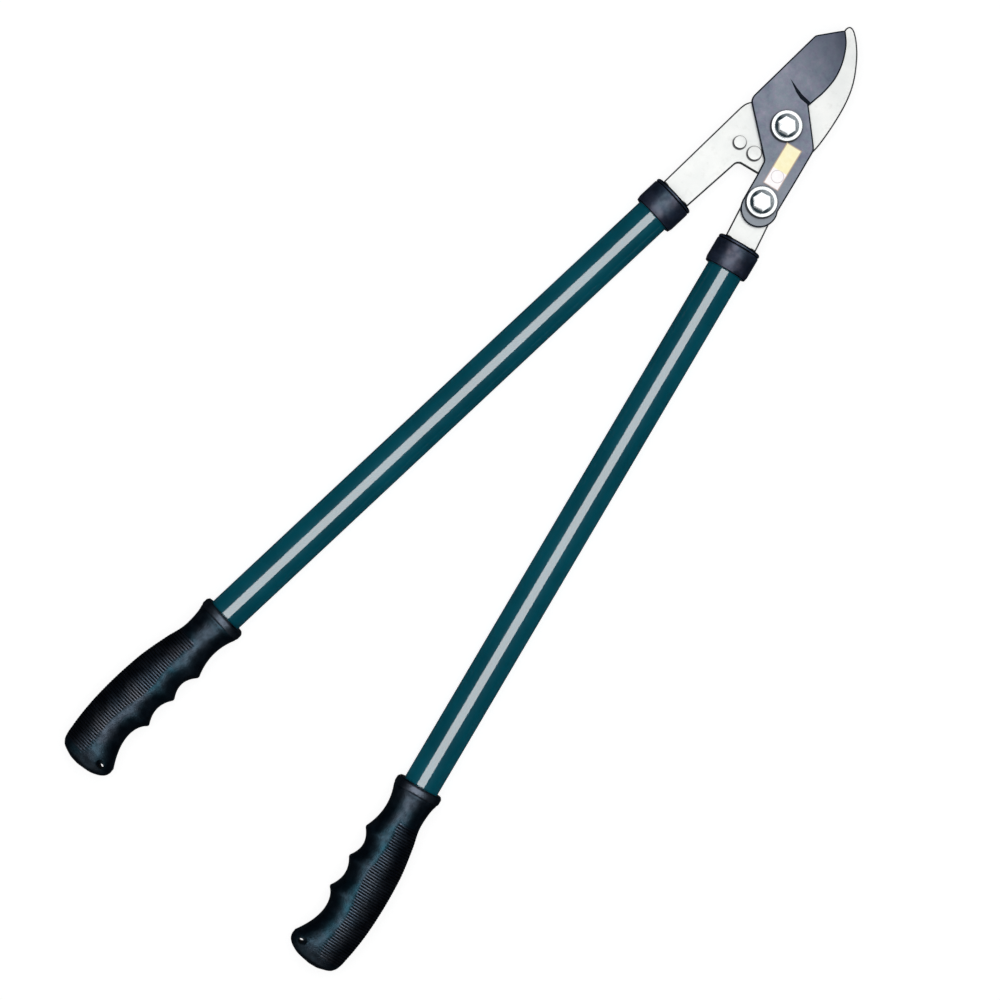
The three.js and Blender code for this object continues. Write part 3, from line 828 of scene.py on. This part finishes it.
for stem, body in (("pivot", "hook_side"), ("link", "blade")):
    bolt(stem + "_bolt", body)
    lo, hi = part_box(stem + "_nut")
    steel = bright_steel(stem + "_nut_steel", (lo + hi) / 2)
    beveled(stem + "_nut", body, steel, 0.00025)
    beveled(stem + "_washer", body, steel, 0.0002)
    beveled(stem + "_nut_ring", body, nylon(stem + "_ring_nylon", (0.75, 0.76, 0.74)), 0.0002)


RIVET_GAP = 0.00005  # between the plate and a rivet's head or tail
HEAD_TILT = 0.85  # a rivet's flat ends are the faces whose normals rise this much or more


def rivet(node):
    """A stop rivet through the hook plate; the side of its head is painted as dark as the plate's edge, as
    shade.
    """
    lo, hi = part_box(node)
    centre = (lo + hi) / 2
    outer = (hi.x - lo.x) / 2
    plate_lo, plate_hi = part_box("hook_plate")
    shank, tail = outer * 0.52, outer * 0.86
    head = plate_hi.z + RIVET_GAP
    foot = plate_lo.z - RIVET_GAP
    profile = rounded([
        (0, lo.z), (tail, lo.z), (tail, foot), (shank, foot), (shank, head), (outer, head), (outer, hi.z),
        (0, hi.z),
    ], 0.0006, 6)
    vertices, faces = revolve(profile, Vector((centre.x, centre.y, 0)), UP, ALONG_X, 72)
    materials = [plate_steel(node + "_steel", 0.3), plate_edge]
    piece = make(node, vertices, faces, "hook_side", "bright_steel", materials, 32)
    # faces of the head's side take the rim painted dark as shade
    for face in piece.data.polygons:
        face.material_index = int(abs(face.normal.z) < HEAD_TILT)


for node in RIVETS:
    rivet(node)


# ---- handles
class Handle:
    """A handle's axis: s runs down it from the ferrule's front face, t toward the other handle."""

    def __init__(self, side):
        points = points_of(side + "_tube")
        centre = points.mean(0)
        axis = np.linalg.svd(points - centre, full_matrices=False)[2][0]
        axis = -axis if axis[1] > 0 else axis
        self.down = Vector((axis[0], axis[1], 0)).normalized()
        inner = ALONG_X if side == "left" else -ALONG_X
        self.inner = (inner - self.down * inner.dot(self.down)).normalized()
        front = min((points_of(side + "_ferrule") - centre) @ np.array(self.down))
        self.origin = Vector(centre) + self.down * float(front)
        self.side = side
        self.body = "hook_side" if side == "left" else "lever_side"

    def span(self, node):
        """Where the node starts and ends along the axis."""
        along = (points_of(node) - np.array(self.origin)) @ np.array(self.down)
        return float(along.min()), float(along.max())

    def reach(self, node):
        """The node's largest distance from the axis."""
        away = np.cross(points_of(node) - np.array(self.origin), np.array(self.down))
        return float(np.linalg.norm(away, axis=1).max())

    def at(self, s, t, z):
        """The point at s and t, z over the axis."""
        return self.origin + self.down * s + self.inner * t + UP * z

    def turned(self, profile, steps):
        return revolve(profile, self.origin, self.down, self.inner, steps)


COLLAR_WALL = 0.0025  # the collar's closed front
SLIP = 0.0003  # between the tube and the collar
SLOT_T, SLOT_Z = 0.0078, 0.0028  # half the size of the slot that the plate goes through
# The collar's outline: places from its front and its back face, and how far they lie under its outer radius.
COLLAR_FRONT = [(0.0, 0.0012), (0.001, 0.00015), (0.0021, 0.00025), (0.0024, 0.0007), (0.0027, 0.0007),
                (0.0032, 0.0001)]
COLLAR_BACK = [(0.003, 0.0001), (0.0, 0.0008)]
# the collar's front rim, back rim and groove are painted black as shade within these reaches
SHADE_FRONT, SHADE_BACK, SHADE_DEPTH = 0.0011, 0.0009, 0.0011
GROOVE_FROM, GROOVE_TO = 0.0022, 0.0029


def ferrule(handle, materials):
    """The black collar; materials are the plastic and the painted-shade black of its rims and groove."""
    node = handle.side + "_ferrule"
    start, end = handle.span(node)
    outer = handle.reach(node)
    inner = handle.reach(handle.side + "_tube") + SLIP
    profile = [(0.0, start)] + [(outer - under, start + s) for s, under in COLLAR_FRONT]
    profile += [(outer - under, end - s) for s, under in COLLAR_BACK]
    profile += [(inner, end), (inner, start + COLLAR_WALL), (0.0, start + COLLAR_WALL)]
    profile = rounded(profile, 0.0005, 5)
    vertices, faces = handle.turned(profile, 128)
    tags = []
    for f in faces:
        middle = sum((Vector(vertices[i]) for i in f), Vector()) / len(f) - handle.origin
        s = middle.dot(handle.down)
        rim = (middle - s * handle.down).length > outer - SHADE_DEPTH
        groove = start + GROOVE_FROM < s < start + GROOVE_TO
        tags.append(int(rim and (groove or s < start + SHADE_FRONT or s > end - SHADE_BACK)))
    piece = make(node, vertices, faces, handle.body, "black_plastic", materials, 40, tags)
    corners = [handle.at(s, t, z) for s in (start - 0.002, start + COLLAR_WALL + 0.001)
               for t in (-SLOT_T, SLOT_T) for z in (-SLOT_Z, SLOT_Z)]
    sides = [(0, 1, 3, 2), (4, 6, 7, 5), (0, 4, 5, 1), (2, 3, 7, 6), (0, 2, 6, 4), (1, 5, 7, 3)]
    cut_out(piece, "slot", corners, sides)
    reshade(piece, 40)


TUBE_WALL = 0.0015


def tube(handle, material):
    """The painted tube, from inside the collar to inside the grip."""
    node = handle.side + "_tube"
    start, end = handle.span(node)
    outer = handle.reach(node)
    inner = outer - TUBE_WALL
    profile = rounded([(inner, start), (outer, start), (outer, end), (inner, end)], 0.0003, 3)
    make(node, *handle.turned(profile, 144), handle.body, "teal_paint", [material], 40)


# Grip profiles in millimetres at distances s from the collar, as on the CAD solid.
GRIP_BACK = [(0, 15.6), (1.6, 16.6), (5, 16.6), (9, 15.2), (15, 14.2), (24, 13.9), (38, 16.6), (61, 19.8),
             (86, 20.3), (109, 18.8), (125, 16.2), (131, 14.8), (135, 12.8), (137.6, 9.6), (139.6, 3)]
GRIP_DEPTH = [(0, 15.4), (1.6, 16.2), (5, 16.2), (9, 15.2), (15, 14.6), (24, 14.4), (45, 15.2), (100, 15.2),
              (119, 14.4), (127, 13), (133, 10.6), (137.6, 7.2), (139.6, 3.4)]
GRIP_FRONT = [(0, 15.8), (1.6, 17.2), (6, 17.4)]
GRIP_TAIL = [(125, 24.2), (129, 24.5), (132.4, 23), (135.6, 19), (138, 13.5), (139.6, 6)]
SCOOPS = [(6, 17.4, 41.7, 18.7, 13.9, 1), (41.7, 18.7, 64, 18.4, 13.9, 1), (64, 18.4, 88.1, 19.5, 14.6, 1),
          (88.1, 19.5, 125, 24.2, 14.6, 0.8)]
BLUNT = 0.9
SKIN = 0.15  # how far the look lies inside the CAD solid
SQUARENESS = 0.86  # 1 makes the grip's section an ellipse, less makes it squarer
GRIP_AROUND = 120
RIB_PITCH = 1.9
RIB_HEIGHT = 0.55
RIBS_FROM, RIBS_TO = 25.0, 134.0
RIBS_RISE, RIBS_SINK = 4, 6
RIB_SKEW = 0.035  # how much the ribs lean
RIB_SHAPE = 0.8  # less makes the valleys narrower
# The ribs end toward the fingers along a slow wave.
BORDER, BORDER_WAVE, BORDER_PITCH, BORDER_FADE = 1.5, 1.4, 9.0, 1.6
VALLEY = 0.3  # the lowest share of a rib's wave, painted in shade
LIP_FROM, LIP_TO = 0.7, 5.8
LIP_GROOVE, LIP_GROOVE_WIDTH, LIP_GROOVE_DEPTH = 6.3, 0.7, 0.4
BORE_SLIP, BORE_PAST = 0.0002, 0.0005  # the bore round the tube, in metres
HOLE_AT, HOLE_RADIUS = (128.6, 16.9), 1.8  # the hanging hole
HOLE_EDGE, HOLE_FACE = 9.8, 11.2  # heights where the hole starts to widen, and where it leaves the grip


def smooth(table, s):
    """A soft curve through a table of (place, value)."""
    places = np.array([p for p, _ in table], float)
    values = np.array([v for _, v in table], float)
    slopes = np.gradient(values, places)
    k = np.clip(np.searchsorted(places, s) - 1, 0, len(places) - 2)
    h = places[k + 1] - places[k]
    u = np.clip((s - places[k]) / h, 0, 1)
    secant = (values[k + 1] - values[k]) / h
    limit = 2.5 * np.abs(secant)
    m0 = np.clip(slopes[k], -limit, limit)
    m1 = np.clip(slopes[k + 1], -limit, limit)
    return eased(values[k], values[k + 1], h * m0, h * m1, u)


def finger_side(s):
    """How far the grip reaches toward the fingers, its cusps worn a little blunt."""
    if SCOOPS[0][0] + BLUNT < s < SCOOPS[-1][2] - BLUNT:
        return sum(scooped(s + d) for d in (-BLUNT, -BLUNT / 2, 0, BLUNT / 2, BLUNT)) / 5
    return scooped(s)


def scooped(s):
    """The same with its cusps sharp: the collar, then one scoop for each finger, then the tail."""
    if s < SCOOPS[0][0]:
        return float(smooth(GRIP_FRONT, s))
    for start, h0, end, h1, bottom, lean in SCOOPS:
        if s <= end:
            u = ((s - start) / (end - start)) ** lean
            return h0 + (h1 - h0) * u - ((h0 + h1) / 2 - bottom) * 4 * u * (1 - u)
    return float(smooth(GRIP_TAIL, s))


def squared(v):
    return np.sign(v) * np.abs(v) ** SQUARENESS


def grip_row(s):
    """Points round the grip at s, toward the fingers and upward, and what each is part of.

    That is 0 for the smooth side, 1 for a rib, 2 for the valley between two, which is painted in shade, and 3
    for the lip."""
    angles = np.arange(GRIP_AROUND) * 2 * math.pi / GRIP_AROUND
    front, back = finger_side(s) - SKIN, float(smooth(GRIP_BACK, s)) - SKIN
    depth = float(smooth(GRIP_DEPTH, s)) - SKIN
    t = (front - back) / 2 + (front + back) / 2 * squared(np.cos(angles))
    z = depth * squared(np.sin(angles))
    fade = np.clip((s - RIBS_FROM) / RIBS_RISE, 0, 1) * np.clip((RIBS_TO - s) / RIBS_SINK, 0, 1)
    border = BORDER + BORDER_WAVE * math.sin(s / BORDER_PITCH)
    palm = np.clip((border - t) / BORDER_FADE, 0, 1)
    on_ribs = palm * fade > 0.5
    palm = palm * np.clip(np.abs(z) / depth * 2, 0.3, 1)  # lower ribs along the middle of the back
    wave = 0.5 - 0.5 * np.cos(2 * math.pi * (s + RIB_SKEW * t) / RIB_PITCH)
    part = on_ribs.astype(int) + (on_ribs & (wave < VALLEY)).astype(int) + 3 * int(LIP_FROM < s < LIP_TO)
    groove = LIP_GROOVE_DEPTH * math.exp(-(((s - LIP_GROOVE) / LIP_GROOVE_WIDTH) ** 2))
    cut = RIB_HEIGHT * (1 - wave**RIB_SHAPE) * fade * palm + groove
    length = np.hypot(t, z)
    return t * (1 - cut / length), z * (1 - cut / length), part


def grip(handle, materials):
    """The moulded grip, bored for the tube and drilled near its end."""
    node = handle.side + "_grip"
    start, end = handle.span(node)
    stations = [*np.arange(0, 1.6, 0.25), *np.arange(1.6, 133, 0.3), *np.arange(133, 139.4, 0.25)]
    stations += [139.45, 139.55]
    vertices, tags = [], []
    for s in stations:
        t, z, part = grip_row(s)
        vertices += [handle.at(start + s * MM, a * MM, b * MM) for a, b in zip(t, z)]
        tags += list(part)
    tags = tags[:-GRIP_AROUND] + [0, 0]
    faces = skin(len(stations), GRIP_AROUND)
    piece = make(node, vertices, faces, handle.body, "grip_rubber", materials, 50, tags)

    tube_end = handle.span(handle.side + "_tube")[1] + BORE_PAST
    bore = handle.reach(handle.side + "_tube") + BORE_SLIP
    profile = [(0, start - 0.002), (bore, start - 0.002), (bore, tube_end), (0, tube_end)]
    cut_out(piece, "bore", *handle.turned(profile, 96))
    r = HOLE_RADIUS
    upper = [(r, HOLE_EDGE), (2 * r, HOLE_FACE), (r + 9, 20), (0, 20)]
    profile = [(x * MM, -z * MM) for x, z in upper[::-1]] + [(x * MM, z * MM) for x, z in upper]
    hole = handle.at(start + HOLE_AT[0] * MM, HOLE_AT[1] * MM, 0)
    cut_out(piece, "hanging hole", *revolve(profile, hole, UP, ALONG_X, 96))
    reshade(piece, 50)


paint = teal_paint()
GRIP_BASE = (0.0004, 0.0020, 0.0045)
COOL = ((0.5, 0.72, 1.0), (0.78, 0.84, 1.0))
ferrule_black = black_plastic(
    "ferrule_black", 1400, (0.003, 0.0072, 0.019), 0.36, ((1.0, 0.86, 1.0), (0.62, 0.86, 1.0)), mottle=0.5)
grip_black = black_plastic(
    "grip_black", 1200, GRIP_BASE, 0.3, ((0.2, 0.66, 0.9), (0.62, 0.78, 1.0)), 0.0003, 0.17, 0.5)
grip_ribbed = black_plastic("grip_ribbed", 1000, (0.0004, 0.001, 0.003), 0.26, COOL, 0.0002, 0.27)
grip_lip = black_plastic(
    "grip_lip", 1200, GRIP_BASE, 0.3, ((0.6, 0.76, 0.95), (0.7, 0.8, 1.0)), 0.0003, 0.3, 0.4)
# near-black, barely glossy: painted shade on the collars' rims and groove and between the grip's ribs
dull_black = black_plastic("dull_black", 1000, (0.0002, 0.0005, 0.001), 0.5, COOL, 0.0001, 0.03)
insert_nylon = nylon("insert_nylon", (0.26, 0.28, 0.3))
for side in ("left", "right"):
    handle = Handle(side)
    ferrule(handle, [ferrule_black, dull_black])
    tube(handle, paint)
    grip(handle, [grip_black, grip_ribbed, dull_black, grip_lip])
    beveled(side + "_tang_insert", handle.body, insert_nylon, 0.0002)


# ---- stage, light and camera
def hidden_from(thing, *rays):
    """Rays of these kinds don't see the thing."""
    for ray in rays:
        setattr(thing, "visible_" + ray, False)


def glowing(name, base, glow):
    """Plain white paper that is also lit from behind, as on a light table."""
    look = Look(name, Roughness=0.95, Emission_Color=(1, 1, 1, 1), Emission_Strength=glow)
    look.colour(look.mix(look.noise(30, 3), (base,) * 3, (base * 1.03,) * 3))
    return look.material


def paper(name, vertices, faces, base, glow, *unseen_by):
    """A stage sheet that some kinds of ray pass by."""
    mesh = bpy.data.meshes.new(name)
    mesh.from_pydata(vertices, [], faces)
    mesh.shade_smooth()
    sheet = added(name, mesh)
    mesh.materials.append(glowing(name + "_paper", base, glow))
    hidden_from(sheet, *unseen_by)
    sheet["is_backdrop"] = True


def floor(half=9.0):
    corners = [(-half, -half, 0), (half, -half, 0), (half, half, 0), (-half, half, 0)]
    paper("floor", corners, [(0, 1, 2, 3)], 0.35, 0.86, "glossy")


def backdrop(radius=9.0, height=5.0, steps=48):
    """A round wall; it's left out of what lights the tool."""
    angles = [2 * math.pi * k / steps for k in range(steps)]
    vertices = [(radius * math.cos(a), radius * math.sin(a), z) for z in (0, height) for a in angles]
    faces = [(k, (k + 1) % steps, steps + (k + 1) % steps, steps + k) for k in range(steps)]
    paper("backdrop", vertices, faces, 0.5, 0.95, "glossy", "diffuse", "shadow")


def softbox(name, location, width, height, radiance, facing=(0, 0, -1)):
    """A soft rectangular light; it looks straight down unless told otherwise."""
    light = bpy.data.lights.new(name, "AREA")
    light.shape, light.size, light.size_y = "RECTANGLE", width, height
    light.energy = radiance * math.pi * width * height
    lamp = added(name, light)
    lamp.location = location
    lamp.rotation_mode = "QUATERNION"
    lamp.rotation_quaternion = Vector(facing).to_track_quat("-Z", "Y")
    hidden_from(lamp, "camera")
    return lamp


floor()
backdrop()
BOX_HEIGHT, BOX_SIZE = 1.3, (1.5, 1.5)
BOX_RADIANCE = 1.33
hidden_from(softbox("overhead", (0, 0, BOX_HEIGHT), *BOX_SIZE, BOX_RADIANCE), "glossy")


def sheen(name, words, place, size, radiance, facing=(0, 0, -1), but=()):
    """A card that only shows as gloss, on the pieces whose names hold one of the words and none of but."""
    lamp = softbox(name, place, *size, radiance, facing)
    hidden_from(lamp, "diffuse")
    group = bpy.data.collections.new(name)
    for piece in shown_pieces():
        if any(word in piece.name for word in words) and not any(word in piece.name for word in but):
            group.objects.link(piece)
    lamp.light_linking.receiver_collection = group


# The overhead's own reflection, on everything but the paint, whose stripe is narrower.
sheen("overhead gloss", ("",), (0, 0, BOX_HEIGHT + 0.005), BOX_SIZE, BOX_RADIANCE, but=("tube",))
sheen("sheen on paint", ("tube",), (0, 0, BOX_HEIGHT + 0.01), (1.18, 1.7), 14.6)
sheen("sheen on grips", ("grip",), (0, -0.45, BOX_HEIGHT + 0.02), (0.65, 1.7), 17.5)
sheen("sheen on collars", ("ferrule",), (0, 0.25, BOX_HEIGHT + 0.03), (1.9, 1.7), 5.4)
# Cards past both ends of the tool give the handles their gloss in low views; their sides keep a clean colour.
for end in (-1, 1):
    sheen(f"end card {end}", ("tube", "grip", "ferrule"), (0, 2.2 * end, 0.95), (2.0, 1.6), 1.8, (0, -end, 0))
# Pale walls all round, seen only by the metal.
METAL = ("plate", "blade", "bolt", "nut", "washer", "rivet")
for quarter in range(4):
    out = Vector((math.cos(quarter * math.pi / 2), math.sin(quarter * math.pi / 2), 0))
    sheen(f"metal card {quarter}", METAL, tuple(out * 2.0 + UP * 1.25), (3.9, 2.2), 0.75, tuple(-out))

# A dim sky that only shows well above the horizon.
world = bpy.data.worlds.new("studio")
world.use_nodes = True
tree = world.node_tree
split = tree.nodes.new("ShaderNodeSeparateXYZ")
tree.links.new(tree.nodes.new("ShaderNodeTexCoord").outputs["Generated"], split.inputs[0])
sky = tree.nodes.new("ShaderNodeMapRange")
tree.links.new(split.outputs[2], sky.inputs["Value"])
for socket, value in (("From Min", 0.25), ("From Max", 1.0), ("To Min", 0.02), ("To Max", 0.2)):
    sky.inputs[socket].default_value = value
tree.links.new(sky.outputs[0], tree.nodes["Background"].inputs["Strength"])
tree.nodes["Background"].inputs["Color"].default_value = (0.93, 0.97, 1.0, 1)
scene.world = world
view = scene.view_settings
view.view_transform, view.look, view.exposure = "Standard", "None", 0.0

# The camera looks straight down, its upper edge turned 38.7 degrees from the jaws' direction.
CAMERA_HEIGHT = 2.4
SEEN = 0.667  # metres across the picture at the height of the plates
SENSOR = 36
PLATE_RISE = 0.0035  # from the handles' axes up to the plates' faces
AIM = Vector((0.0067, -0.3137))  # from the pivot to the picture's middle
camera_data = bpy.data.cameras.new("camera")
camera_data.sensor_width = SENSOR
camera_data.lens = SENSOR * CAMERA_HEIGHT / SEEN
camera = added("camera", camera_data)
scene.camera = camera
right = Vector((0.7804, 0.6252, 0)).normalized()
up = UP.cross(right)
camera.matrix_world = Matrix((
    (right.x, up.x, UP.x, PIVOT.x + AIM.x),
    (right.y, up.y, UP.y, PIVOT.y + AIM.y),
    (right.z, up.z, UP.z, handle.origin.z + PLATE_RISE + CAMERA_HEIGHT),
    (0, 0, 0, 1),
))
